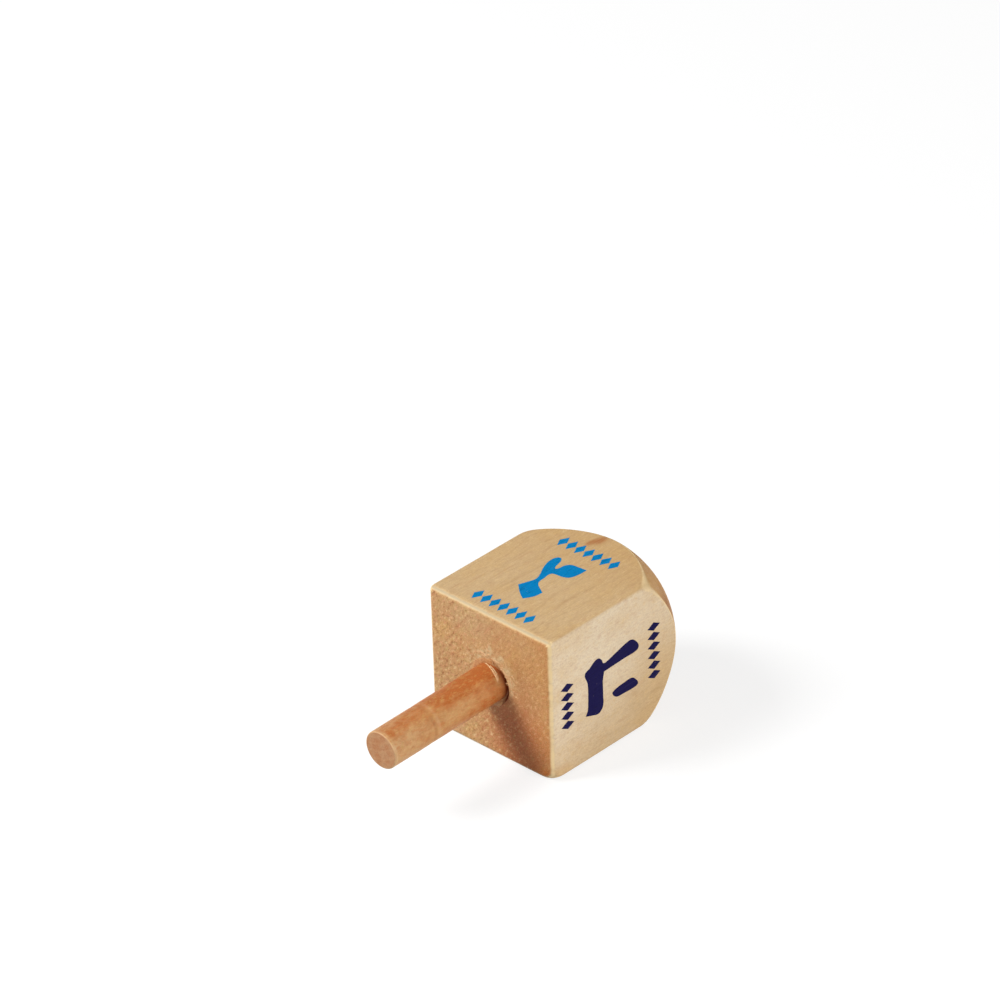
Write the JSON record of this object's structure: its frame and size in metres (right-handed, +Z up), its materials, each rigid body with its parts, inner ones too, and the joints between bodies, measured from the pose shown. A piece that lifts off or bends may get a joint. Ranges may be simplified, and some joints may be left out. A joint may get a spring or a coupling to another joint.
{
  "type": "dreidel",
  "caption": "Wooden four-sided spinning top: square block with a turned pointed end and a glued dowel stem, lying on one flat",
  "frame": {"origin": "centre of the footprint, on the surface that the toy lies on", "axes": "+Z up; the spin axis lies along X with the tip towards +X and the stem towards -X; the flat that faces -Z is the one it rests on"},
  "size_m": [0.0756, 0.032, 0.032],
  "materials": {
    "block_wood": "satin lacquer over pale close-grained wood",
    "stem_wood": "satin lacquer over a slightly redder dowel",
    "glue": "dried wood glue",
    "ink_blue": "thin matt ink, letter and marks on the upper flat",
    "ink_navy": "thin matt ink, letter and marks on the right flat",
    "ink_green": "thin matt ink, letter and marks on the left flat",
    "ink_red": "thin matt ink, letter and marks on the lower flat"
  },
  "bodies": {
    "root": {"block": "block_wood", "stem": "stem_wood", "glue": "glue"}
  },
  "joints": []
}
